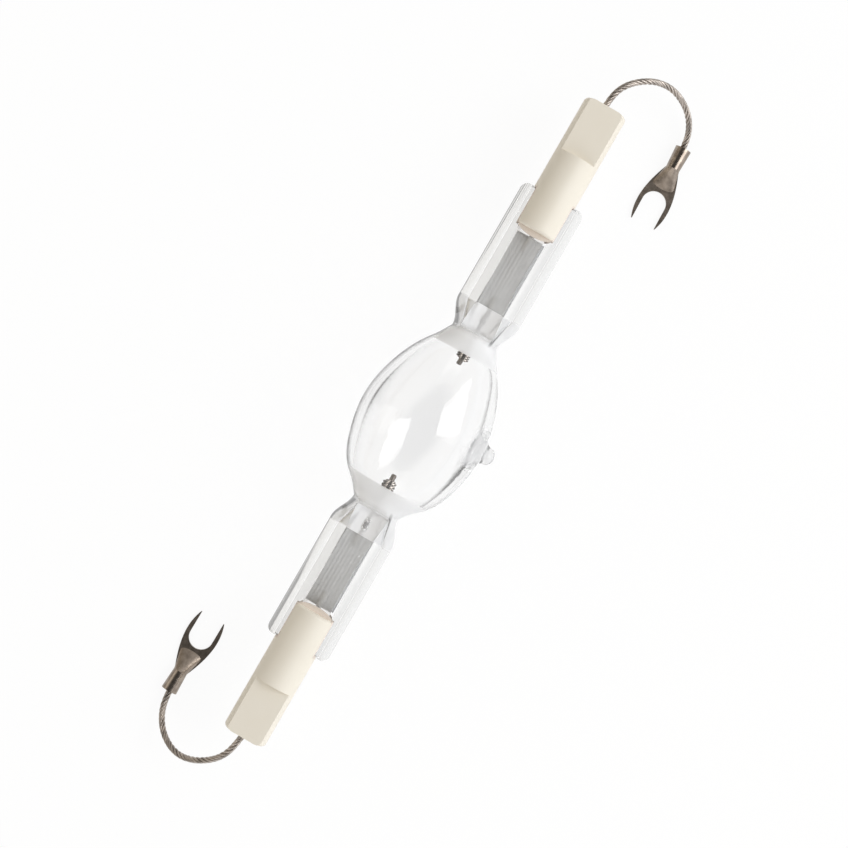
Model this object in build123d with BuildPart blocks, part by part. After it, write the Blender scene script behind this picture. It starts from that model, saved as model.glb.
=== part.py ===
"""Double-ended metal halide lamp with pinch-sealed quartz, slotted ceramic caps and forked leads.

Millimetres. The origin is the middle of the lamp on its axis, +X runs along the lamp and +Z up.
The lamp lies on a table: its bulb and its two fork terminals touch the plane under the bulb.
"""
import os
from math import pi, radians, tan

from build123d import *

# The two ends of the lamp
sides = {"left": -1, "right": 1}

# Blown quartz bulb and its cavity; the fullness pairs are shares of the way from neck to crown
bulb_radius = 17.4
bulb_wall = 2.8
crown_x = -1.0
neck_x = 25.4
neck_radius = 6.55
left_fullness = [(0.12, 0.21), (0.25, 0.51), (0.55, 0.84)]
right_fullness = [(0.11, 0.16), (0.24, 0.39), (0.51, 0.74)]
left_end_rise = 0.7
right_end_fall = 0.65
cavity_past_neck = 0.4
cavity_end_radius = 1.9
hollow_rise = 2.0
left_hollow = [(0.08, 0.22), (0.24, 0.60), (0.55, 0.87)]
right_hollow = [(0.08, 0.19), (0.22, 0.48), (0.52, 0.80)]

# Exhaust tip, the stub that is left where the filling tube was melted off
tip_x = 0.3
tip_radius = 2.35
tip_flare_height = 3.2
tip_flare_width = 2.0
tip_end_y = -20.2
tip_side = 0.2
tip_round = 2.1
tip_bore_radius = 0.9
tip_bore_mouth = 3.3
tip_bore_depth = 3.4

# Necks, pressed flat towards the seals; each section is a distance from the neck, width and height
neck_length = 8.1
neck_sections = [(2.6, 14.5, 11.8), (5.5, 17.2, 8.6)]
press_lead_in = 0.8
press_lead_in_height = 7.2
press_knee = 0.6
press_knee_height = 4.76
press_knee_round = 1.5
press_start_width = 9.2

# Flat pinch seals, a thin web between two thicker rails
seal_length = 33.1
seal_width = 18.0
seal_thick = 5.4
seal_edge_round = 2.2
seal_corner = 2.0
web_width = 12.6
web_thick = 4.6

# Electrodes: a rod, a two-layer coil on its hot end and a fine wrap inside the glass
rod_dia = 1.5
rod_tip_x = {"left": 14.9, "right": 16.4}
rod_tip_chamfer = 0.25
coil_setback = 1.25
coil_wire = 0.6
coil_pitch = 0.7
coil_turns = 5
wire_clearance = 0.01
wrap_to_seal = 4.5
wrap_wire = 0.4
wrap_groove = 0.15
wrap_crest = 0.5
wrap_turns = 6

# Sealing foils and the pins behind them
foil_to_seal_end = 12.0
foil_width = 8.1
foil_thick = 0.05
rod_lap = 3.0
pin_dia = 1.5
pin_lap = 4.0
pin_past_seal = 5.7

# Ceramic caps, slotted over the seals, with two flats for the holder's clamp
cap_length = 37.1
cap_overlap = 10.1
cap_seat_gap = 0.4
cap_dia = 12.0
cap_end_round = 1.2
cap_inner_round = 0.9
flat_length = 15.4
flat_across = 7.26
slot_width = 6.0
cap_bore_dia = 7.0
cap_bore_depth = 10.0
lead_hole_dia = 2.9

# Cement that holds a cap on its seal
cement_clearance = 0.1
cement_bulge = 1.5
cement_bulge_width = 9.6

# Joint sleeve between pin and lead
sleeve_dia = 3.0
sleeve_length = 7.0
sleeve_grip = 3.4
joint_gap = 0.4

# Fork terminals, tubes pressed flat and cut to a fork; each one's fork centre and turn on the table
fork_slot_width = 6.6
fork_thick = 1.0
fork_half_width = 4.5
fork_tip_reach = 6.0
fork_tip_width = 0.2
fork_shoulder = 5.8
fork_shoulder_half = 3.5
fork_neck = 10.3
fork_neck_radius = 1.9
fork_mouth = 16.2
fork_mouth_radius = 2.2
fork_bore_depth = 5.4
barrel_clearance = 0.03
fork_flattening = 6.1
fork_flat_half = 3.4
fork_steps = 3
fork_clear = 0.06
fork_place = {"left": ((-79.1, 22.9), 178.9), "right": ((80.5, -23.5), 1.4)}

# Places along the axis that follow
cavity_end_x = neck_x + cavity_past_neck
seal_start = neck_x + neck_length
seal_end = seal_start + seal_length
foil_end = seal_end - foil_to_seal_end
rod_end_x = seal_start + rod_lap
wrap_x = seal_start - wrap_to_seal
wrap_end_x = wrap_x + wrap_turns * wrap_wire
wrap_radius = rod_dia / 2 + wrap_wire
pin_start_x = foil_end - pin_lap
pin_end_x = seal_end + pin_past_seal
sleeve_x = pin_end_x - sleeve_grip
cap_inner_x = seal_end - cap_overlap
cap_outer_x = cap_inner_x + cap_length
slot_end_x = seal_end + cap_seat_gap
bore_end_x = slot_end_x + cap_bore_depth
floor_z = -bulb_radius

# Stranded leads
lead_dia = 1.7
corner_share = 0.45
lead_end_dia = 2.4
lead_end_length = 2.6
lead_start_x = pin_end_x + joint_gap
barrel_z = floor_z + fork_mouth_radius
right_lead_points = [
    (lead_start_x, 0.0, 0.0),
    (84.0, 0.0, 0.0),
    (95.3, 0.7, 0.0),
    (101.3, -1.1, -0.8),
    (106.1, -6.3, -3.4),
    (107.9, -12.1, -7.1),
    (106.1, -18.1, -11.0),
    (101.9, -22.0, -14.0),
    (96.5, -23.1, barrel_z),
    (91.4, -23.23, barrel_z),
]
left_lead_points = [
    (-lead_start_x, 0.0, 0.0),
    (-84.0, 0.0, 0.0),
    (-95.2, 0.3, 0.0),
    (-101.4, 2.1, -0.8),
    (-105.8, 7.0, -3.5),
    (-107.8, 12.6, -7.2),
    (-105.8, 18.4, -11.1),
    (-101.0, 22.2, -14.0),
    (-95.2, 23.2, barrel_z),
    (-90.1, 23.1, barrel_z),
]
lead_points = {"left": left_lead_points, "right": right_lead_points}


def across(sign, station):
    """The plane across the axis at a distance from the middle, facing outwards, its x along Y."""
    return Plane(origin=(sign * station, 0, 0), x_dir=(0, 1, 0), z_dir=(sign, 0, 0))


def blown_profile(end_x, end_radius, crown_radius, left_shares, right_shares):
    """The points of a blown outline from the left end over the crown to the right end."""
    rise = crown_radius - end_radius
    left_run = crown_x + end_x
    right_run = end_x - crown_x
    left = [(-end_x + u * left_run, end_radius + v * rise) for u, v in left_shares]
    right = [(end_x - u * right_run, end_radius + v * rise) for u, v in reversed(right_shares)]
    return [(-end_x, end_radius), *left, (crown_x, crown_radius), *right, (end_x, end_radius)]


def finish(builder, name):
    """Label a finished piece, write it and print its volume."""
    builder.part.label = name
    export_step(builder.part, f"parts/{name}.step")
    print(f"{name}: {builder.part.volume:.2f} mm3, {len(builder.part.solids())} solid(s)")


def electrode_rod(side, sign):
    """The tungsten rod; its outer end is ground to half and lies on the foil."""
    tip = rod_tip_x[side]
    with BuildPart() as rod:
        with BuildSketch(across(sign, tip)):
            Circle(rod_dia / 2)
        extrude(amount=rod_end_x - tip)
        with BuildSketch(across(sign, seal_start)):
            with Locations((0, -sign * (rod_dia - foil_thick) / 2)):
                Rectangle(rod_dia, rod_dia)
        extrude(amount=rod_lap, mode=Mode.SUBTRACT)
        chamfer(rod.edges().sort_by(Axis.X)[-1 if sign < 0 else 0], rod_tip_chamfer)
    finish(rod, f"electrode_rod_{side}")
    return rod.part


def wound_layer(start, sign, radius, pitch, turns, wire):
    """One layer of a coil, wound outwards along the axis."""
    with BuildPart() as layer:
        with BuildLine() as path:
            Helix(pitch, turns * pitch, radius, center=(sign * start, 0, 0), direction=(sign, 0, 0))
        with BuildSketch(Plane(origin=path.line @ 0, z_dir=path.line % 0)):
            Circle(wire / 2)
        sweep(is_frenet=True)
    return layer.part


def electrode_coil(side, sign):
    """Two layers of wire wound on the rod behind its tip, the outer in the grooves of the inner."""
    start = rod_tip_x[side] + coil_setback + coil_wire / 2
    inner_radius = rod_dia / 2 + coil_wire / 2 + wire_clearance
    wire_gap = coil_wire + wire_clearance
    outer_radius = inner_radius + (wire_gap**2 - (coil_pitch / 2) ** 2) ** 0.5
    inner = wound_layer(start, sign, inner_radius, coil_pitch, coil_turns, coil_wire)
    outer_start = start + coil_pitch / 2
    outer = wound_layer(outer_start, sign, outer_radius, coil_pitch, coil_turns - 1, coil_wire)
    with BuildPart() as coil:
        add(inner)
        add(outer)
    finish(coil, f"electrode_coil_{side}")


def shank_wrap(side, sign):
    """The wire wrapped on the rod where the neck's quartz closes on it, a ridge for each turn."""
    outline = [(wrap_x, rod_dia / 2)]
    for turn in range(wrap_turns):
        start = wrap_x + turn * wrap_wire
        crest = wrap_crest * wrap_wire
        outline.append((start, wrap_radius - wrap_groove))
        outline.append((start + (wrap_wire - crest) / 2, wrap_radius))
        outline.append((start + (wrap_wire + crest) / 2, wrap_radius))
    outline.append((wrap_end_x, wrap_radius - wrap_groove))
    outline.append((wrap_end_x, rod_dia / 2))
    with BuildPart() as wrap:
        with BuildSketch(Plane.XY):
            with BuildLine():
                Polyline(*[(sign * x, radius) for x, radius in outline], close=True)
            make_face()
        revolve(axis=Axis.X)
    finish(wrap, f"shank_wrap_{side}")


def seal_foil(side, sign):
    """The thin molybdenum foil in the middle plane of the seal."""
    with BuildPart() as foil:
        with BuildSketch(across(sign, seal_start)):
            Rectangle(foil_width, foil_thick)
        extrude(amount=foil_end - seal_start)
    finish(foil, f"seal_foil_{side}")
    return foil.part


def outer_pin(side, sign):
    """The molybdenum pin from the foil to the joint sleeve, its inner end ground to half."""
    with BuildPart() as pin:
        with BuildSketch(across(sign, pin_start_x)):
            Circle(pin_dia / 2)
        extrude(amount=pin_end_x - pin_start_x)
        with BuildSketch(across(sign, pin_start_x)):
            with Locations((0, -sign * (pin_dia - foil_thick) / 2)):
                Rectangle(pin_dia, pin_dia)
        extrude(amount=pin_lap, mode=Mode.SUBTRACT)
    finish(pin, f"outer_pin_{side}")
    return pin.part


def pinch_jaws(sign):
    """What the two jaws take away: the slope down the neck and the web between the rails."""
    start_x = neck_x - press_lead_in
    knee_x = neck_x + press_knee
    clear_x = seal_end + seal_corner
    with BuildPart() as jaws:
        with BuildSketch(Plane.XZ):
            with BuildLine():
                start = (sign * start_x, press_lead_in_height)
                knee = (sign * knee_x, press_knee_height)
                foot = (sign * seal_start, web_thick / 2)
                FilletPolyline(start, knee, foot, radius=press_knee_round)
                Polyline(foot, (sign * clear_x, web_thick / 2), (sign * clear_x, press_lead_in_height), start)
            make_face()
            mirror(about=Plane.XZ)
        extrude(amount=web_width, both=True)
        with BuildSketch(Plane.XY):
            with BuildLine():
                Polyline(
                    (sign * start_x, 0),
                    (sign * start_x, press_start_width / 2),
                    (sign * knee_x, press_start_width / 2),
                    (sign * seal_start, web_width / 2),
                    (sign * clear_x, web_width / 2),
                    (sign * clear_x, 0),
                    close=True,
                )
            make_face()
            mirror(about=Plane.XZ)
        extrude(amount=press_lead_in_height, both=True, mode=Mode.INTERSECT)
    return jaws.part


def pinch_seal(sign):
    """The flat seal: rails along its edges, a thinner web between them and rounded outer corners."""
    plan_length = seal_length + 2 * seal_corner
    jaws = pinch_jaws(sign)
    with BuildPart() as seal:
        with BuildSketch(across(sign, seal_start)):
            RectangleRounded(seal_width, seal_thick, seal_edge_round)
        extrude(amount=seal_length)
        with BuildSketch(Plane.XY):
            with Locations((sign * (seal_end - plan_length / 2), 0)):
                RectangleRounded(plan_length, seal_width, seal_corner)
        extrude(amount=seal_thick, both=True, mode=Mode.INTERSECT)
        add(jaws, mode=Mode.SUBTRACT)
    return seal.part


def flattening_neck(sign):
    """The clear neck, round at the bulb and wide at the seal."""
    with BuildPart() as neck:
        with BuildSketch(across(sign, neck_x)):
            Circle(neck_radius)
        for reach, width, height in neck_sections:
            with BuildSketch(across(sign, neck_x + reach)):
                Ellipse(width / 2, height / 2)
        with BuildSketch(across(sign, seal_start)):
            RectangleRounded(seal_width, seal_thick, seal_edge_round)
        loft()
    return neck.part


def exhaust_tip():
    """The melted-off stub on the bulb's side, flared where it runs into the bulb."""
    round_y = tip_end_y + tip_round
    flare_y = round_y + tip_side
    root_y = flare_y + tip_flare_height
    side_x = tip_x + tip_radius
    with BuildPart() as tip:
        with BuildSketch(Plane.XY):
            with BuildLine():
                Line((tip_x, root_y), (tip_x, tip_end_y))
                Line((tip_x, tip_end_y), (side_x - tip_round, tip_end_y))
                RadiusArc((side_x - tip_round, tip_end_y), (side_x, round_y), -tip_round)
                Line((side_x, round_y), (side_x, flare_y))
                Line((side_x, flare_y), (side_x + tip_flare_width, root_y))
                Line((side_x + tip_flare_width, root_y), (tip_x, root_y))
            make_face()
        revolve(axis=Axis((tip_x, 0, 0), (0, 1, 0)))
    return tip.part


def tip_bore():
    """What is left of the filling tube's bore: a funnel that opens to the cavity and is closed outside."""
    mouth_y = bulb_wall - bulb_radius
    round_y = mouth_y - tip_bore_depth + tip_bore_radius
    bore_x = tip_x + tip_bore_radius
    with BuildPart() as bore:
        with BuildSketch(Plane.XY):
            with BuildLine():
                Polyline(
                    (tip_x, round_y - tip_bore_radius), (tip_x, 0), (tip_x + tip_bore_mouth, 0),
                    (tip_x + tip_bore_mouth, mouth_y), (bore_x, round_y))
                RadiusArc((bore_x, round_y), (tip_x, round_y - tip_bore_radius), tip_bore_radius)
            make_face()
        revolve(axis=Axis((tip_x, 0, 0), (0, 1, 0)))
    return bore.part


def quartz_envelope(sealed_pieces):
    """The one-piece quartz body: blown bulb, tip, necks and seals, moulded round the sealed pieces."""
    outline = blown_profile(neck_x, neck_radius, bulb_radius, left_fullness, right_fullness)
    cavity_radius = bulb_radius - bulb_wall
    hollow = blown_profile(cavity_end_x, cavity_end_radius, cavity_radius, left_hollow, right_hollow)
    ends = [pinch_seal(sign) for sign in sides.values()]
    ends += [flattening_neck(sign) for sign in sides.values()]
    jaws = [pinch_jaws(sign) for sign in sides.values()]
    tip = exhaust_tip()
    with BuildPart() as envelope:
        with BuildSketch(Plane.XY):
            with BuildLine():
                Spline(*outline, tangents=[(1, left_end_rise), (1, -right_end_fall)])
                Polyline(outline[-1], (neck_x, 0), (-neck_x, 0), outline[0])
            make_face()
        revolve(axis=Axis.X)
        add(ends)
        add(jaws, mode=Mode.SUBTRACT)
        add(tip)
        with BuildSketch(Plane.XY):
            with BuildLine():
                Spline(*hollow, tangents=[(1, hollow_rise), (1, -hollow_rise)])
                Polyline(hollow[-1], (cavity_end_x, 0), (-cavity_end_x, 0), hollow[0])
            make_face()
        revolve(axis=Axis.X, mode=Mode.SUBTRACT)
        add(tip_bore(), mode=Mode.SUBTRACT)
        for sign in sides.values():
            with BuildSketch(across(sign, wrap_x)):
                Circle(wrap_radius)
            extrude(amount=wrap_end_x - wrap_x, mode=Mode.SUBTRACT)
        add(sealed_pieces, mode=Mode.SUBTRACT)
    finish(envelope, "quartz_envelope")


def ceramic_cap(side, sign):
    """The slotted ceramic cap with its flats, its cement bore and the hole for the lead."""
    with BuildPart() as cap:
        with BuildSketch(across(sign, cap_inner_x)):
            Circle(cap_dia / 2)
        extrude(amount=cap_length)
        rims = cap.edges().filter_by(GeomType.CIRCLE).sort_by(lambda edge: abs(edge.center().X))
        fillet(rims[-1], cap_end_round)
        fillet(rims[0], cap_inner_round)
        with BuildSketch(across(sign, cap_outer_x - flat_length)):
            with Locations((0, (flat_across + cap_dia) / 2), (0, -(flat_across + cap_dia) / 2)):
                Rectangle(2 * cap_dia, cap_dia)
        extrude(amount=flat_length, mode=Mode.SUBTRACT)
        with BuildSketch(across(sign, cap_inner_x)):
            Rectangle(2 * cap_dia, slot_width)
        extrude(amount=slot_end_x - cap_inner_x, mode=Mode.SUBTRACT)
        with BuildSketch(across(sign, slot_end_x)):
            Circle(cap_bore_dia / 2)
        extrude(amount=cap_bore_depth, mode=Mode.SUBTRACT)
        with BuildSketch(across(sign, bore_end_x)):
            Circle(lead_hole_dia / 2)
        extrude(amount=cap_outer_x - bore_end_x, mode=Mode.SUBTRACT)
    finish(cap, f"ceramic_cap_{side}")


def joint_sleeve(side, sign):
    """The metal sleeve that joins the pin, pushed in from one end, to the lead in the other."""
    with BuildPart() as sleeve:
        with BuildSketch(across(sign, sleeve_x)):
            Circle(sleeve_dia / 2)
        extrude(amount=sleeve_length)
        with BuildSketch(across(sign, sleeve_x)):
            Circle(pin_dia / 2)
        extrude(amount=sleeve_grip + joint_gap, mode=Mode.SUBTRACT)
        with BuildSketch(across(sign, sleeve_x + sleeve_grip + joint_gap)):
            Circle(lead_dia / 2)
        extrude(amount=sleeve_length, mode=Mode.SUBTRACT)
    finish(sleeve, f"joint_sleeve_{side}")


def cap_cement(side, sign):
    """The cement: a layer on both faces of the seal, a bead at the cap's mouth and the bore's filling."""
    sleeve_end_x = sleeve_x + sleeve_length
    seal = pinch_seal(sign)
    with BuildPart() as cement:
        with BuildSketch(across(sign, cap_inner_x)):
            Circle(cap_dia / 2 - cement_clearance)
        extrude(amount=slot_end_x - cap_inner_x)
        with BuildSketch(across(sign, cap_inner_x)):
            Rectangle(cap_dia, slot_width)
        extrude(amount=slot_end_x - cap_inner_x, mode=Mode.INTERSECT)
        with BuildSketch(Plane.XY):
            with Locations((sign * cap_inner_x, 0)):
                Ellipse(cement_bulge, cement_bulge_width / 2)
        extrude(amount=slot_width / 2, both=True)
        with BuildSketch(across(sign, slot_end_x)):
            Circle(cap_bore_dia / 2)
        extrude(amount=cap_bore_depth)
        with BuildSketch(across(sign, seal_end)):
            Circle(pin_dia / 2)
        extrude(amount=sleeve_x - seal_end, mode=Mode.SUBTRACT)
        with BuildSketch(across(sign, sleeve_x)):
            Circle(sleeve_dia / 2)
        extrude(amount=sleeve_length, mode=Mode.SUBTRACT)
        with BuildSketch(across(sign, sleeve_end_x)):
            Circle(lead_hole_dia / 2)
        extrude(amount=bore_end_x - sleeve_end_x, mode=Mode.SUBTRACT)
        add(seal, mode=Mode.SUBTRACT)
    finish(cement, f"cap_cement_{side}")


def corner_radii(points):
    """For each inner point of a route, the largest even arc that its two runs allow."""
    radii = []
    for before, corner, after in zip(points, points[1:], points[2:]):
        run_in = Vector(corner) - Vector(before)
        run_out = Vector(after) - Vector(corner)
        half_turn = radians(run_in.get_angle(run_out) / 2)
        radii.append(corner_share * min(run_in.length, run_out.length) / tan(half_turn))
    return radii


def stranded_lead(side):
    """The bare stranded lead from the sleeve to the fork, thicker where it is folded in the barrel."""
    points = lead_points[side]
    radii = corner_radii(points)
    with BuildPart() as lead:
        with BuildLine() as route:
            FilletPolyline(*points, radius=radii)
        with BuildSketch(Plane(origin=points[0], z_dir=Vector(points[1]) - Vector(points[0]))):
            Circle(lead_dia / 2)
        sweep()
        tube_volume = lead.part.volume
        with BuildSketch(Plane(origin=points[-1], z_dir=Vector(points[-2]) - Vector(points[-1]))):
            Circle(lead_end_dia / 2)
        extrude(amount=lead_end_length)
    length = sum(edge.length for edge in route.edges())
    print(f"lead_{side} radii:", " ".join(f"{radius:.1f}" for radius in radii))
    print(f"lead_{side}: {length:.1f} mm long, tube {tube_volume:.1f} mm3, ", end="")
    print(f"section times length {pi * lead_dia**2 / 4 * length:.1f} mm3")
    finish(lead, f"lead_{side}")


def fork_terminal(side):
    """A tube terminal: a round barrel on the lead, pressed flat into a palm that is cut to a fork."""
    (place_x, place_y), turn = fork_place[side]
    base = Plane(origin=(place_x, place_y, floor_z)).rotated((0, 0, turn))

    def section(reach, height):
        origin = base.from_local_coords((reach, 0, height))
        return Plane(origin=origin, x_dir=base.y_dir, z_dir=base.x_dir)

    tip = (-fork_tip_reach, fork_slot_width / 2 + fork_tip_width)
    widest = (0, fork_half_width)
    shoulder = (fork_shoulder, fork_shoulder_half)
    neck = (fork_neck, fork_neck_radius)
    fork_flat_high = fork_thick / 2 - fork_clear
    with BuildPart() as fork:
        with BuildSketch(base):
            with BuildLine():
                Spline(tip, widest, shoulder, neck)
                Polyline(neck, (fork_neck, 0), (-fork_tip_reach, 0), tip)
            make_face()
            mirror(about=Plane.XZ)
            with Locations((-fork_tip_reach / 2, 0)):
                Rectangle(fork_tip_reach, fork_slot_width, mode=Mode.SUBTRACT)
            Circle(fork_slot_width / 2, mode=Mode.SUBTRACT)
        extrude(amount=fork_thick)
        with BuildSketch(section(fork_mouth, fork_mouth_radius)):
            Circle(fork_mouth_radius)
        with BuildSketch(section(fork_neck, fork_mouth_radius)):
            Circle(fork_neck_radius)
        loft()
        with BuildSketch(section(fork_neck, fork_mouth_radius)):
            Circle(fork_neck_radius)
        for step in range(1, fork_steps + 1):
            share = step / fork_steps
            half_wide = fork_neck_radius + share * (fork_flat_half - fork_neck_radius)
            half_high = fork_neck_radius + share * (fork_flat_high - fork_neck_radius)
            with BuildSketch(section(fork_neck - share * fork_flattening, half_high + fork_clear)):
                Ellipse(half_wide, half_high)
        loft()
        with BuildSketch(section(fork_mouth, fork_mouth_radius)):
            Circle(lead_end_dia / 2 + barrel_clearance)
        extrude(amount=-fork_bore_depth, mode=Mode.SUBTRACT)
    finish(fork, f"fork_terminal_{side}")


os.makedirs("parts", exist_ok=True)
sealed = []
for side, sign in sides.items():
    sealed.append(electrode_rod(side, sign))
    electrode_coil(side, sign)
    shank_wrap(side, sign)
    sealed.append(seal_foil(side, sign))
    sealed.append(outer_pin(side, sign))
quartz_envelope(sealed)
print(f"length over the caps: {2 * cap_outer_x:.1f} mm")
for side, sign in sides.items():
    ceramic_cap(side, sign)
    joint_sleeve(side, sign)
    cap_cement(side, sign)
    stranded_lead(side)
    fork_terminal(side)
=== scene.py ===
# %% [markdown]
# # A metal halide lamp
#
# This lesson dresses a double-ended discharge lamp: a clear quartz bulb between two frosted seals,
# cream ceramic caps, stranded leads and fork terminals. The solids come from a packed CAD model and
# stay where they are. Here they get their finishes, and the leads and the glass get a finer form.

# %% Load the frame
from math import cos, pi, radians, sin

import bpy
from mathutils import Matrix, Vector


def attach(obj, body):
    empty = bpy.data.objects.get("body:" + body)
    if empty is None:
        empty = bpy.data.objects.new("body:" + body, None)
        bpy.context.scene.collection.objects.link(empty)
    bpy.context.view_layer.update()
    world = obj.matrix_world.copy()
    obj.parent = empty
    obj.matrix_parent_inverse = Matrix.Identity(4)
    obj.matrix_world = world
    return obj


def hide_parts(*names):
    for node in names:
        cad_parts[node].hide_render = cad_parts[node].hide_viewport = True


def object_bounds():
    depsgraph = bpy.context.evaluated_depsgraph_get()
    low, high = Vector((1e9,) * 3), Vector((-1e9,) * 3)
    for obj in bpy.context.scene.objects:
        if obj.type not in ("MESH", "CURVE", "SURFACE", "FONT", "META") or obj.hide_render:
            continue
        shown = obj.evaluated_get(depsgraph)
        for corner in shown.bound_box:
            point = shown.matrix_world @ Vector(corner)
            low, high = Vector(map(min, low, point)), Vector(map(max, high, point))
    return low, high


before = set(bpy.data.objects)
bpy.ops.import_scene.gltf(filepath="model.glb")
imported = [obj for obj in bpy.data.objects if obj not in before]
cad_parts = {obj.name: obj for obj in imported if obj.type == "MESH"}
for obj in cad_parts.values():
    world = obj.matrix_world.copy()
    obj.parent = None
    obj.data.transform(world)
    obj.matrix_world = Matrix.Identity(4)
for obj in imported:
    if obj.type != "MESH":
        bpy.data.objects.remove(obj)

cad_box = [list(corner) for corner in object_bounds()]
mm = 0.001
ends = {"left": -1, "right": 1}
floor_z = cad_box[0][2]
bpy.ops.object.select_all(action="DESELECT")
print("nodes:", len(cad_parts), "box:", cad_box)

# %% [markdown]
# ## Camera
#
# The photograph looks straight down on the lamp. How high the camera stood isn't known; 0.6 m is a
# guess. A narrow lens from there keeps the forks on the table and the caps above it at nearly the same
# scale, as they are in the picture. The lamp runs up to the right, so the camera is turned 60 degrees.

# %% Camera
camera_height = 600 * mm
camera_place = (-0.589 * mm, -0.012 * mm, camera_height)
lens = 98.7
sensor_width = 36

bpy.ops.object.camera_add(location=camera_place, rotation=(0, 0, radians(-60)))
camera = bpy.context.object
camera.name = "table_camera"
camera.data.lens = lens
camera.data.sensor_width = sensor_width
camera.data.clip_end = 10
bpy.context.scene.camera = camera
frame_width = sensor_width / lens * camera_height / mm
print("frame width at the lamp's axis:", round(frame_width, 1), "mm")

# %% [markdown]
# ## The leads' routes
#
# Each lead is a bare cable of twisted strands, about 46 mm of it free, that leaves its cap straight,
# turns back in one round bow and comes down to the table, where its fork lies flat. The route is one
# smooth NURBS curve through a few listed points. Everything on the lead follows this curve.

# %% Routes
barrel_z = -15.2
lead_points = {
    "left": [
        (-72.7, 0, 0), (-84, 0, 0), (-95.2, 0.3, 0), (-101.4, 2.1, -0.8), (-105.8, 7.0, -3.5),
        (-107.8, 12.6, -7.2), (-105.8, 18.4, -11.1), (-101.0, 22.2, -14.0), (-95.2, 23.2, barrel_z),
        (-90.1, 23.1, barrel_z),
    ],
    "right": [
        (72.7, 0, 0), (84, 0, 0), (95.3, 0.7, 0), (101.3, -1.1, -0.8), (106.1, -6.3, -3.4),
        (107.9, -12.1, -7.1), (106.1, -18.1, -11.0), (101.9, -22.0, -14.0), (96.5, -23.1, barrel_z),
        (91.4, -23.23, barrel_z),
    ],
}


def lead_route(side):
    """The NURBS curve of one lead."""
    points = lead_points[side]
    curve = bpy.data.curves.new(f"route_{side}", "CURVE")
    curve.dimensions = "3D"
    spline = curve.splines.new("NURBS")
    spline.points.add(len(points) - 1)
    for point, place in zip(spline.points, points):
        point.co = (*[value * mm for value in place], 1)
    spline.order_u = 3
    spline.use_endpoint_u = True
    spline.resolution_u = 20
    return bpy.data.objects.new(f"route_{side}", curve)


def points_along(route):
    """The points that Blender works out along a curve without a bevel."""
    line = bpy.data.meshes.new_from_object(route)
    places = [vertex.co.copy() for vertex in line.vertices]
    bpy.data.meshes.remove(line)
    return places


lead_lines = {}
for side in ends:
    route = lead_route(side)
    lead_lines[side] = points_along(route)
    length = sum((b - a).length for a, b in zip(lead_lines[side], lead_lines[side][1:]))
    bpy.data.objects.remove(route)
    print(f"lead_{side}: {len(lead_lines[side])} points, {length / mm:.1f} mm")

# %% [markdown]
# ## The strands
#
# The cable is six strands laid round a seventh. A strand could be a texture on a tube, but its edge
# shows against the white table, so each one is real: it circles the route at a strand's distance, and
# a thin round bevel gives it its body. The turns are a little uneven, as in a cable that was bent.

# %% Where a strand runs
lead_dia = 1.7 * mm
strand_dia = lead_dia / 3
lay_length = 7.5 * mm
strands_round_core = 6
strand_step = 0.4 * mm
unevenness = 0.25
uneven_over = 11 * mm


def even_places(line, step):
    """Points along a line at even distances, each with its distance from the start."""
    places = [(0.0, line[0].copy())]
    travelled = 0.0
    wanted = step
    for start, end in zip(line, line[1:]):
        run = (end - start).length
        while run > 0 and wanted <= travelled + run:
            places.append((wanted, start.lerp(end, (wanted - travelled) / run)))
            wanted += step
        travelled += run
    places.append((travelled, line[-1].copy()))
    return places


def strand_centres(places, strand):
    """The line of one strand: the core's is the route itself, the others circle it."""
    centres = []
    side_axis = Vector((0, 0, 1))
    for index, (travelled, place) in enumerate(places):
        before = places[max(index - 1, 0)][1]
        after = places[min(index + 1, len(places) - 1)][1]
        along = (after - before).normalized()
        side_axis = (side_axis - along * side_axis.dot(along)).normalized()
        turn = 2 * pi * (travelled / lay_length + strand / strands_round_core)
        turn += unevenness * sin(travelled / uneven_over + strand)
        outwards = side_axis * cos(turn) + along.cross(side_axis) * sin(turn)
        reach = 0 if strand == strands_round_core else strand_dia
        centres.append(place + outwards * reach)
    return centres


lead_places = {side: even_places(lead_lines[side], strand_step) for side in ends}
print("places along each lead:", [len(places) for places in lead_places.values()])

# %% Stranded leads
def stranded_lead(side):
    """The seven strands of one lead as one mesh."""
    curve = bpy.data.curves.new(f"strands_{side}", "CURVE")
    curve.dimensions = "3D"
    curve.bevel_depth = strand_dia / 2
    curve.bevel_resolution = 3
    curve.use_fill_caps = True
    for strand in range(strands_round_core + 1):
        spline = curve.splines.new("POLY")
        centres = strand_centres(lead_places[side], strand)
        spline.points.add(len(centres) - 1)
        for point, centre in zip(spline.points, centres):
            point.co = (*centre, 1)
    source = bpy.data.objects.new(f"strands_{side}", curve)
    mesh = bpy.data.meshes.new_from_object(source)
    bpy.data.objects.remove(source)
    lead = bpy.data.objects.new(f"stranded_lead_{side}", mesh)
    bpy.context.scene.collection.objects.link(lead)
    bpy.ops.object.select_all(action="DESELECT")
    lead.select_set(True)
    bpy.context.view_layer.objects.active = lead
    bpy.ops.object.shade_smooth()
    return lead


for side, sign in ends.items():
    lead = stranded_lead(side)
    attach(lead, "root")
    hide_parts(f"lead_{side}")
    print(lead.name, len(lead.data.polygons), "faces")

# %% [markdown]
# ## Wires between nodes
#
# A finish is a net of shader nodes. To write its maths as plain sums, a small class wraps the output
# of a node and turns +, -, * and / into Math nodes. One method adds every other node.

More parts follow.
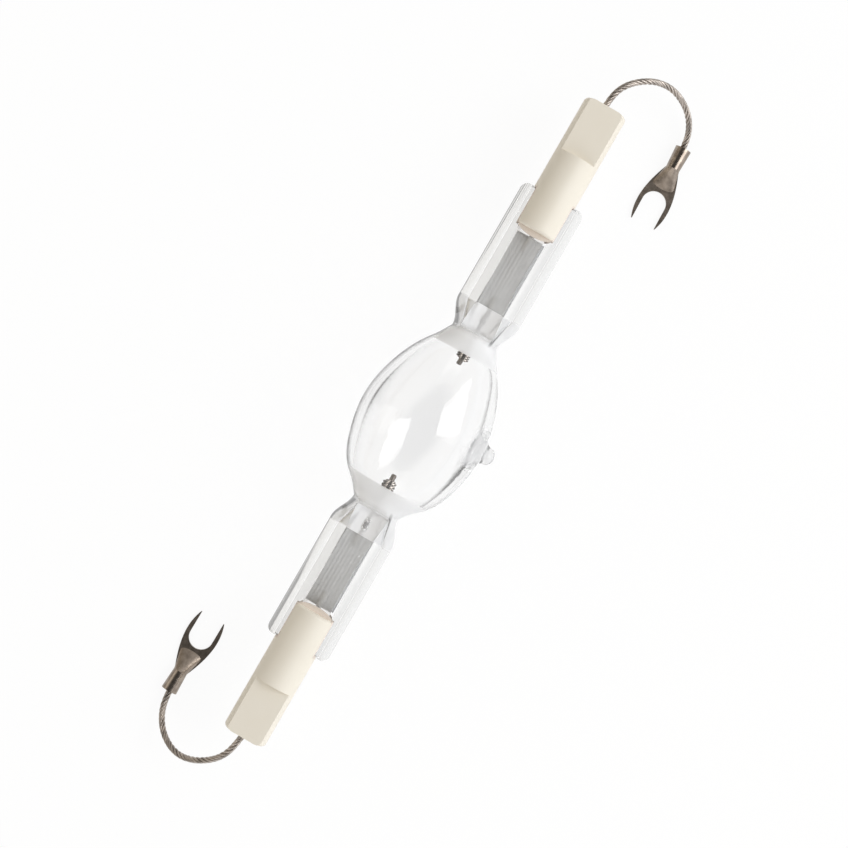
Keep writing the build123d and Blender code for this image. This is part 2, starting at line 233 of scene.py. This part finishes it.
# %% Sockets with arithmetic
class Wire:
    """The output of a node, which can be added, multiplied and compared."""

    def __init__(self, finish, socket):
        self.finish = finish
        self.socket = socket

    def maths(self, operation, *values):
        return self.finish.node("ShaderNodeMath", {"operation": operation}, dict(enumerate(values)))

    def __add__(self, other):
        return self.maths("ADD", self, other)

    def __radd__(self, other):
        return self.maths("ADD", other, self)

    def __sub__(self, other):
        return self.maths("SUBTRACT", self, other)

    def __rsub__(self, other):
        return self.maths("SUBTRACT", other, self)

    def __mul__(self, other):
        return self.maths("MULTIPLY", self, other)

    def __rmul__(self, other):
        return self.maths("MULTIPLY", other, self)

    def __truediv__(self, other):
        return self.maths("DIVIDE", self, other)

    def above(self, other):
        return self.maths("GREATER_THAN", self, other)

    def size(self):
        return self.maths("ABSOLUTE", self)

    def wave(self):
        return self.maths("SINE", self)

    def limited(self):
        return self.maths("MINIMUM", self.maths("MAXIMUM", self, 0), 1)

    def rising(self, low, high):
        """0 below low, 1 above high, and even between them."""
        return ((self - low) / (high - low)).limited()

    def near(self, place, inner, outer):
        """1 up to the inner distance from a place, 0 from the outer one."""
        return 1 - (self - place).size().rising(inner, outer)

    def between(self, start, end):
        """1 between two places, where start and end give the slope at each."""
        return self.rising(*start) * (1 - self.rising(*end))


print("a wire can be:", [name for name in vars(Wire) if not name.startswith("_")])

# %% A finish as a net of nodes
class Finish:
    """The node tree of a material or of the world."""

    def __init__(self, owner):
        owner.use_nodes = True
        self.tree = owner.node_tree
        self.tree.nodes.clear()
        self.owner = owner

    def node(self, kind, settings=None, sockets=None, output=0):
        """Add a node, its settings first, and return one of its outputs."""
        made = self.tree.nodes.new(kind)
        for name, value in (settings or {}).items():
            setattr(made, name, value)
        for name, value in (sockets or {}).items():
            if isinstance(value, Wire):
                self.tree.links.new(value.socket, made.inputs[name])
            elif isinstance(value, tuple) and len(value) == 3 and made.inputs[name].type == "RGBA":
                made.inputs[name].default_value = (*value, 1)
            else:
                made.inputs[name].default_value = value
        return Wire(self, made.outputs[output])

    def coordinates(self, kind):
        """The three parts of a point's place or direction, as three wires."""
        vector = self.node("ShaderNodeTexCoord", output=kind)
        parts = self.node("ShaderNodeSeparateXYZ", None, {0: vector}).socket.node.outputs
        return [Wire(self, part) for part in parts]

    def axes(self):
        return self.coordinates("Object")

    def facing(self):
        return self.coordinates("Normal")

    def ray_kind(self, name):
        """1 for a ray of that kind, and 0 for the others."""
        return self.node("ShaderNodeLightPath", output=name)

    def noise(self, scale, detail):
        place = self.node("ShaderNodeTexCoord", output="Object")
        sockets = {"Vector": place, "Scale": scale, "Detail": detail}
        return self.node("ShaderNodeTexNoise", None, sockets)

    def blend(self, factor, first, second):
        """A colour between two, by a factor."""
        return self.node("ShaderNodeMix", {"data_type": "RGBA"}, {0: factor, 6: first, 7: second}, 2)

    def mix(self, factor, first, second):
        """A shader between two, by a factor."""
        return self.node("ShaderNodeMixShader", None, {0: factor, 1: first, 2: second})

    def bump(self, height, strength, distance):
        sockets = {"Height": height, "Strength": strength, "Distance": distance}
        return self.node("ShaderNodeBump", None, sockets)

    def surface(self, **sockets):
        names = {name.replace("_", " "): value for name, value in sockets.items()}
        return self.node("ShaderNodeBsdfPrincipled", None, names)

    def plain(self, kind, colour, **sockets):
        """A simple shader of one kind and colour."""
        return self.node(kind, None, {"Color": colour, **sockets})

    def done(self, shader, kind="ShaderNodeOutputMaterial"):
        """Lead a shader to the output and return the finished material or world."""
        made = self.tree.nodes.new(kind)
        self.tree.links.new(shader.socket, made.inputs["Surface"])
        print("finish:", self.owner.name, len(self.tree.nodes), "nodes")
        return self.owner


def new_finish(name):
    return Finish(bpy.data.materials.new(name))


def both(name):
    """The names of a piece at the lamp's left and right end."""
    return [f"{name}_{side}" for side in ends]


def paint(finish, *names):
    """Give a finish to the objects of these names."""
    for name in names:
        bpy.data.objects[name].data.materials.clear()
        bpy.data.objects[name].data.materials.append(finish)


print("a finish can:", [name for name in vars(Finish) if not name.startswith("_")])

# %% [markdown]
# ## Table
#
# Glass has no colour of its own: it shows what lies behind and beside it. The table is white where it is
# seen. From 36 mm beside the lamp's axis it has darker zones of painted shade, which only rays that went
# through glass or were mirrored can meet. They draw the thin inner line of the bulb's wall as a painted
# dark reflection. Grey paint on the glass would be simpler, but it wouldn't bend with the glass's shape.

# %% Table
bpy.ops.mesh.primitive_plane_add(size=3, location=(0, 0, floor_z))
table = bpy.context.object
table.name = "table"
print("table at", round(floor_z / mm, 2), "mm")

# %% White table with its dark zones
tip_far_edge = (36 * mm, 39 * mm)
tip_far_left = ((-22 * mm, -18 * mm), (-6 * mm, -4 * mm))
tip_far_right = ((2 * mm, 4 * mm), (9 * mm, 12 * mm))
back_far_edge = (37 * mm, 42 * mm)
back_far_middle = ((-14 * mm, 0), (12 * mm, 24 * mm))


def table_finish():
    """White where it is seen, with the lamp's shadow: faint in the picture, plainer through the glass,
    and with zones of painted shade that only the glass shows.
    """
    finish = new_finish("white_table")
    x, y = finish.axes()[:2]
    # The darker zones are painted shade, seen only through the glass and in its mirror.
    back_painted_shade = y.rising(*back_far_edge) * (0.35 + 0.65 * x.between(*back_far_middle))
    tip_painted_shade = x.between(*tip_far_left) + 0.8 * x.between(*tip_far_right)
    painted_shade_zones = (back_painted_shade + (-1 * y).rising(*tip_far_edge) * tip_painted_shade).limited()
    tone = finish.blend(painted_shade_zones, (1.0, 1.0, 1.0), (0.08, 0.08, 0.08))
    matt = finish.plain("ShaderNodeBsdfDiffuse", (0.9, 0.9, 0.9))
    paper = finish.plain("ShaderNodeEmission", tone, Strength=1.0)
    glow = finish.plain("ShaderNodeEmission", (1, 1, 1), Strength=1.02)
    through = finish.ray_kind("Is Glossy Ray") + finish.ray_kind("Is Transmission Ray")
    lit = finish.mix(0.8 * through.limited(), matt, paper)
    return finish.done(finish.mix(0.9 * finish.ray_kind("Is Camera Ray"), lit, glow))


paint(table_finish(), "table")

# %% [markdown]
# ## World
#
# The camera sees plain white round the table. For all other rays the room is cool and light on the
# side of the exhaust tip, warmer and darker on the other side, and dark overhead, where the camera
# hangs. One even white would be simpler, but then glass and metal show no form.

# %% World
world = bpy.data.worlds.new("studio")
bpy.context.scene.world = world
studio = Finish(world)
across_sky, up_sky = studio.coordinates("Generated")[1:]
walls = studio.blend(across_sky.rising(-0.8, 0.8), (1.07, 1.09, 1.12), (0.56, 0.51, 0.43))
room = studio.blend(up_sky.rising(0.70, 0.88), walls, (0.1, 0.1, 0.1))
fill = studio.plain("ShaderNodeBackground", room, Strength=1.0)
white = studio.plain("ShaderNodeBackground", (1, 1, 1), Strength=1.0)
studio.done(studio.mix(studio.ray_kind("Is Camera Ray"), fill, white), "ShaderNodeOutputWorld")

# %% [markdown]
# ## Lamps
#
# The strongest lamp is a large soft light high on the side of the exhaust tip. The bulb's back wall
# mirrors it as a pale patch. A weaker one at the left end and a faint one behind brighten the shaded
# sides. A small lamp would draw hard shadows, which the photograph doesn't have.

# %% Lamps
def soft_light(name, place, width, height, power):
    """A rectangular soft light that looks at the middle of the lamp."""
    bpy.ops.object.light_add(type="AREA", location=place)
    light = bpy.context.object
    light.name = name
    light.data.shape = "RECTANGLE"
    light.data.size = width
    light.data.size_y = height
    light.data.energy = power
    light.rotation_euler = (-Vector(place)).to_track_quat("-Z", "Y").to_euler()
    print("light:", name, power, "W")


soft_light("near_softbox", (0.33, -0.64, 0.74), 0.55, 0.7, 4.0)
soft_light("left_softbox", (-0.75, -0.1, 0.45), 0.6, 0.6, 0.8)
soft_light("far_softbox", (-0.12, 0.8, 0.4), 0.3, 0.5, 0.3)

# %% [markdown]
# ## Quartz
#
# The bulb, necks and seals are one piece of fused quartz. The solid is right, but its mesh is loose
# flat triangles, which would show in the glass. A copy with its doubles merged can be shaded smooth.

# %% Quartz mesh
def smooth_copy(node, name):
    """A merged, smoothly shaded copy of a CAD node that stands for it."""
    bpy.ops.object.select_all(action="DESELECT")
    copy = bpy.data.objects[node].copy()
    copy.data = copy.data.copy()
    for key in list(copy.keys()):
        del copy[key]
    copy.name = name
    bpy.context.scene.collection.objects.link(copy)
    copy.select_set(True)
    bpy.context.view_layer.objects.active = copy
    bpy.ops.object.mode_set(mode="EDIT")
    bpy.ops.mesh.select_all(action="SELECT")
    bpy.ops.mesh.remove_doubles(threshold=0.000001)
    bpy.ops.object.mode_set(mode="OBJECT")
    bpy.ops.object.shade_smooth_by_angle(angle=radians(35))
    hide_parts(node)
    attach(copy, "root")
    print(name, len(copy.data.vertices), "vertices")
    return copy


quartz = smooth_copy("quartz_envelope", "quartz_body")

# %% [markdown]
# ## Pieces sealed in the glass
#
# A sealed piece fills its pocket in the quartz, so its faces and the pocket's lie in one place and a ray
# of light can't tell which comes first. Each gets a copy that is a hair thinner, too little to be seen.

# %% Sealed pieces
foil_thinning = (1, 0.998, 0.8)
round_thinning = (1, 0.985, 0.985)
sealed_pieces = {
    "seal_foil": ("molybdenum", foil_thinning),
    "outer_pin": ("molybdenum", round_thinning),
    "electrode_rod": ("tungsten", round_thinning),
    "shank_wrap": ("tungsten", round_thinning),
}


def thinned_copy(piece, side):
    """A copy of a sealed piece, a little thinner about the lamp's axis."""
    slot, scale = sealed_pieces[piece]
    copy = smooth_copy(f"{piece}_{side}", f"sealed_{piece}_{side}")
    bpy.ops.object.mode_set(mode="EDIT")
    bpy.ops.mesh.select_all(action="SELECT")
    bpy.ops.transform.resize(value=scale, center_override=(0, 0, 0))
    bpy.ops.object.mode_set(mode="OBJECT")


for piece in sealed_pieces:
    for side in ends:
        thinned_copy(piece, side)

# %% [markdown]
# ## Where the quartz changes
#
# The quartz is clear in the middle of the bulb, hazy at the bulb's ends, cloudy in the necks and on
# the exhaust tip, and frosted on the seals. It could be several pieces with a finish each, but it is
# one body, so one finish holds all its states, and masks along the lamp's axis say where each begins.

# %% Masks for the quartz
haze_middle = 0.25 * mm
haze_start = 19.65 * mm
neck_fade = (24.4 * mm, 26.2 * mm)
pocket_start = 26 * mm
frost_start = 33.5 * mm

fused = new_finish("fused_quartz")
x, y, z = fused.axes()
facing_y, facing_z = fused.facing()[1:]
far = x.size()
outside = (facing_y * y + facing_z * z).above(0)
grazing = fused.node("ShaderNodeLayerWeight", None, {"Blend": 0.5}, 1)
in_neck = far.rising(*neck_fade)
frost = far.above(frost_start)
haze = (x - haze_middle).size().above(haze_start) * (1 - in_neck)
print("masks for the quartz:", len(fused.tree.nodes), "nodes")

# %% [markdown]
# ## Clear glass
#
# Clear quartz bends and mirrors light and has no colour. Its edge away from the exhaust tip is a dark
# line and the edge beside the tip a pale one. The table and the room draw these edges only in part, so
# both are helped at a grazing angle: painted shade darkens the far edge, and a painted highlight of white
# lightens the edge beside the tip.

# %% Clear glass
quartz_ior = 1.458
# Painted shade darkens the glass's edges away from the exhaust tip, at a grazing angle.
painted_edge_shade = (grazing.rising(0.62, 0.80) + in_neck * grazing.rising(0.18, 0.42)).limited()
painted_edge_shade = painted_edge_shade * facing_y.rising(0.5, 0.75)
# A painted highlight of white lightens the outer edge beside the exhaust tip, at a grazing angle.
painted_edge_highlight = grazing.rising(0.74, 0.9) * (-1 * facing_y).rising(0.4, 0.6) * outside
clear = fused.surface(
    Base_Color=fused.blend(painted_edge_shade, (1, 1, 1), (0.1, 0.1, 0.1)),
    Roughness=0.0, IOR=quartz_ior, Transmission_Weight=1.0,
)
painted_edge_white = fused.plain("ShaderNodeBsdfDiffuse", (1, 1, 1))
glass = fused.mix(painted_edge_highlight, clear, painted_edge_white)
print("with the clear glass:", len(fused.tree.nodes), "nodes")

# %% [markdown]
# ## Cloudy glass
#
# The quartz looks milky on the bulb's ends, in the necks and on the melted-off tip. A thin dark line of
# painted shade runs along each neck, and over the left wrap the milk is thinner. What causes them isn't
# known, so they are a finish: a rough glass that lets little through, mixed over the clear one by the
# masks, with the dark line painted into its colour.

# %% Cloudy glass
bulb_radius = 17.4 * mm
painted_line_drop = 4.6 * mm
painted_line_slope = 0.17
painted_line_start = 25.5 * mm
tip_x = 0.3 * mm
left_wrap_x = -30.3 * mm

# A thin dark line of painted shade runs along the top of each neck, beside its axis.
painted_line_y = y + painted_line_drop + painted_line_slope * (far - painted_line_start)
painted_neck_line = in_neck * z.above(0) * painted_line_y.near(0, 0.2 * mm, 0.5 * mm) * (1 - frost)
beside_tip = (x - tip_x).size() - 0.6 * (y + bulb_radius)
tip = (-1 * y).rising(12.0 * mm, 13.6 * mm) * (1 - beside_tip.rising(1.6 * mm, 3.4 * mm))
milk = fused.blend((in_neck + tip).limited(), (0.95, 0.953, 0.96), (0.79, 0.79, 0.795))
cloudy = fused.surface(
    Base_Color=fused.blend(painted_neck_line, milk, (0.12, 0.12, 0.12)),
    Roughness=0.4, Transmission_Weight=0.28, IOR=quartz_ior,
)
over_wrap = x.near(left_wrap_x, 1.2 * mm, 2.2 * mm) * y.near(0, 0.6 * mm, 1.1 * mm)
neck_cloud = in_neck * (0.78 - 0.5 * over_wrap)
cloud = (haze * 0.87 * outside + neck_cloud + tip * 0.65 * outside).limited() * (1 - painted_edge_shade)
print("with the cloudy glass:", len(fused.tree.nodes), "nodes")

# %% [markdown]
# ## Frosted seals
#
# The pressed seals have a pale frost that still lets the foil show. Painted shade darkens their edge away
# from the exhaust tip at a grazing angle and makes the rail on the tip's side a little greyer. A low
# index keeps the foil's place and edges true, and a fine bump gives the frost its grain.

# %% Frosted seals
painted_rail_shade_fade = (4.7 * mm, 5.6 * mm)
# Painted shade darkens the seals' edges away from the exhaust tip, at a grazing angle.
painted_seal_edge_shade = grazing.rising(0.4, 0.6) * facing_y.rising(0.7, 0.9)
# Painted shade greys the rail on the exhaust tip's side.
painted_rail_shade = (-1 * y).rising(*painted_rail_shade_fade)
frost_with_painted_shade = fused.blend(painted_rail_shade, (1.0, 0.998, 0.99), (0.86, 0.86, 0.855))
speckle = fused.noise(1500, 3)
frosted = fused.surface(
    Base_Color=fused.blend(painted_seal_edge_shade, frost_with_painted_shade, (0.3, 0.3, 0.3)),
    Roughness=0.13, IOR=1.12, Transmission_Weight=0.7,
    Normal=fused.bump(speckle, 0.25, 0.05 * mm),
)
print("with the frosted seals:", len(fused.tree.nodes), "nodes")

# %% [markdown]
# ## The whole quartz
#
# The states are laid over each other. The walls of the pockets are left out of sight, since
# the sealed pieces touch the glass there, and a shadow ray goes through the quartz with a small loss,
# because bent light makes its shadows slowly and with noise.

# %% The whole quartz
hazy = fused.mix(cloud, glass, cloudy)
whole = fused.mix(frost, hazy, frosted)
nothing = fused.plain("ShaderNodeBsdfTransparent", (1, 1, 1))
pocket = far.above(pocket_start) * (1 - outside)
seen = fused.mix(pocket, whole, nothing)
faint_shadow = fused.plain("ShaderNodeBsdfTransparent", (0.88, 0.88, 0.88))
paint(fused.done(fused.mix(fused.ray_kind("Is Shadow Ray"), seen, faint_shadow)), quartz.name)

# %% [markdown]
# ## Strands and sleeves
#
# The strands are bare drawn wire, darker here and there, and the sleeves in the caps are nickel. Both
# get one kind of finish: a metal whose tone and gloss vary in small spots. One function makes both,
# since only their colour, gloss and the size of the spots differ.

# %% Strands and sleeves
spot_range = (0.35, 0.65)


def metal(name, colour, rough, mottle, scale):
    """A drawn metal whose tone and gloss vary in spots."""
    finish = new_finish(name)
    spots = finish.noise(scale, 4)
    dark = tuple(channel * (1 - mottle) for channel in colour)
    return finish.done(finish.surface(
        Base_Color=finish.blend(spots.rising(*spot_range), dark, colour),
        Metallic=1.0,
        Roughness=rough + 0.12 * spots,
        Normal=finish.bump(spots, 0.15, 0.02 * mm),
    ))


paint(metal("bare_strand", (0.56, 0.50, 0.45), 0.28, 0.45, 500), *both("stranded_lead"))
paint(metal("nickel_sleeve", (0.5, 0.48, 0.45), 0.4, 0.3, 900), *both("joint_sleeve"))

# %% [markdown]
# ## Electrodes
#
# The coils are dark tungsten wire, and each turn has a bright bead on both sides. If the beads are
# mirrored lights, they need lights of just that size and place, so here each turn gets painted highlights
# along two lines instead. The rods and wraps are metal in the bulb and dull in the neck.

# %% Coils
def coil_finish():
    """Blackened wire with painted highlights along two lines of each turn."""
    finish = new_finish("tungsten_wire")
    across = finish.facing()[1]
    # Painted highlights: two bands on each turn, set by which way its surface faces, are pale and less
    # metallic.
    painted_highlight_lines = (across.near(0.25, 0.05, 0.13) + across.near(-0.5, 0.07, 0.17)).limited()
    return finish.done(finish.surface(
        Base_Color=finish.blend(painted_highlight_lines, (0.08, 0.07, 0.06), (0.9, 0.82, 0.75)),
        Metallic=1 - 0.7 * painted_highlight_lines,
        Roughness=0.25,
    ))


paint(coil_finish(), *both("electrode_coil"))

# %% Rods and wraps
sunk_fade = (23.5 * mm, 25.5 * mm)
foil_fade = (33 * mm, 34 * mm)


def rod_finish():
    """Metal in the bulb, dull grey in the neck's glass, rougher on the foil."""
    finish = new_finish("tungsten_rod")
    far = finish.axes()[0].size()
    sunk = far.rising(*sunk_fade)
    on_foil = far.rising(*foil_fade)
    spots = finish.noise(1500, 4)
    tone = finish.blend(sunk, (0.20, 0.175, 0.155), (0.10, 0.10, 0.10))
    return finish.done(finish.surface(
        Base_Color=finish.blend(on_foil, tone, (0.13, 0.13, 0.125)),
        Metallic=1.0 - sunk,
        Roughness=0.2 + 0.1 * spots + 0.3 * on_foil,
    ))


paint(rod_finish(), *both("sealed_electrode_rod"), *both("sealed_shank_wrap"))

# %% [markdown]
# ## Foils and pins
#
# The foils are thin rolled molybdenum with fine lines along them and a dark weld at the rod's end. A
# groove that fine would need a heavy mesh, so the lines are a colour. The pins are plain grey metal.

# %% Foils and pins
line_pitch = 1.02 * mm
line_shift = 0.15 * mm
weld_y = 0.3 * mm


def foil_finish():
    """Rolled foil, lined along its length, with a dark weld at its inner end."""
    finish = new_finish("rolled_foil")
    x, y = finish.axes()[:2]
    lines = ((y - line_shift) * (2 * pi / line_pitch)).wave()
    rolled = finish.blend(lines.rising(-1, 1), (0.09, 0.095, 0.10), (0.36, 0.37, 0.39))
    weld = x.near(0, 36 * mm, 37.4 * mm) * y.near(weld_y, 0.9 * mm, 1.6 * mm)
    tone = finish.blend(weld, rolled, (0.03, 0.03, 0.03))
    return finish.done(finish.surface(Base_Color=tone, Metallic=0.2, Roughness=0.5))


def pin_finish():
    """Plain grey metal with faint spots."""
    finish = new_finish("molybdenum_pin")
    spots = finish.noise(1500, 4)
    tone = finish.blend(spots, (0.20, 0.20, 0.20), (0.24, 0.24, 0.235))
    return finish.done(finish.surface(Base_Color=tone, Metallic=0.2, Roughness=0.6))


paint(foil_finish(), *both("sealed_seal_foil"))
paint(pin_finish(), *both("sealed_outer_pin"))

# %% [markdown]
# ## Fork terminals
#
# The forks are flat browned plate with a mottled tone. The crimped barrel looks a little lighter and
# glossier than the tines in the photograph, so a mask along the lamp's axis sets it apart.

# %% Fork terminals
barrel_fade = (88.5 * mm, 90.5 * mm)


def terminal_finish():
    """Browned plate, a little lighter and smoother on the crimped barrel."""
    finish = new_finish("browned_terminal")
    spots = finish.noise(700, 4)
    barrel = finish.axes()[0].size().rising(*barrel_fade)
    plate = finish.blend(spots.rising(*spot_range), (0.24, 0.20, 0.165), (0.37, 0.31, 0.26))
    crimped = finish.blend(spots.rising(*spot_range), (0.27, 0.225, 0.19), (0.40, 0.34, 0.285))
    return finish.done(finish.surface(
        Base_Color=finish.blend(barrel, plate, crimped),
        Metallic=1.0,
        Roughness=0.3 + 0.1 * spots - 0.1 * barrel,
        Normal=finish.bump(spots, 0.15, 0.02 * mm),
    ))


paint(terminal_finish(), *both("fork_terminal"))

# %% [markdown]
# ## Ceramic and cement
#
# The caps are unglazed cream ceramic: smooth, with a very fine grain and a tone that drifts slowly.
# The cement in their slots is coarser, duller and pinker. Both finishes come from noise, since neither
# material has a direction: two sizes of it in the ceramic, and one in the cement.

# %% Ceramic and cement
def ceramic_finish():
    """Smooth cream ceramic with a slow drift of tone and a fine grain."""
    finish = new_finish("cream_ceramic")
    drift = finish.noise(120, 3)
    grain = finish.noise(2500, 2)
    return finish.done(finish.surface(
        Base_Color=finish.blend(drift, (0.85, 0.79, 0.68), (0.89, 0.84, 0.74)),
        Roughness=0.42 + 0.1 * grain,
        Normal=finish.bump(grain, 0.12, 0.03 * mm),
    ))


def cement_finish():
    """Dull cement with a coarser grain."""
    finish = new_finish("pale_cement")
    grain = finish.noise(1800, 5)
    return finish.done(finish.surface(
        Base_Color=finish.blend(grain, (0.74, 0.64, 0.56), (0.88, 0.80, 0.72)),
        Roughness=0.85,
        Normal=finish.bump(grain, 0.6, 0.1 * mm),
    ))


paint(ceramic_finish(), *both("ceramic_cap"))
paint(cement_finish(), *both("cap_cement"))

# %% [markdown]
# ## The solids' size and the end
#
# The solids' box is printed, and the view shows colours as they are written.

# %% The solids' size and the end
bpy.context.scene.view_settings.view_transform = "Standard"
print("solids' box:", cad_box)
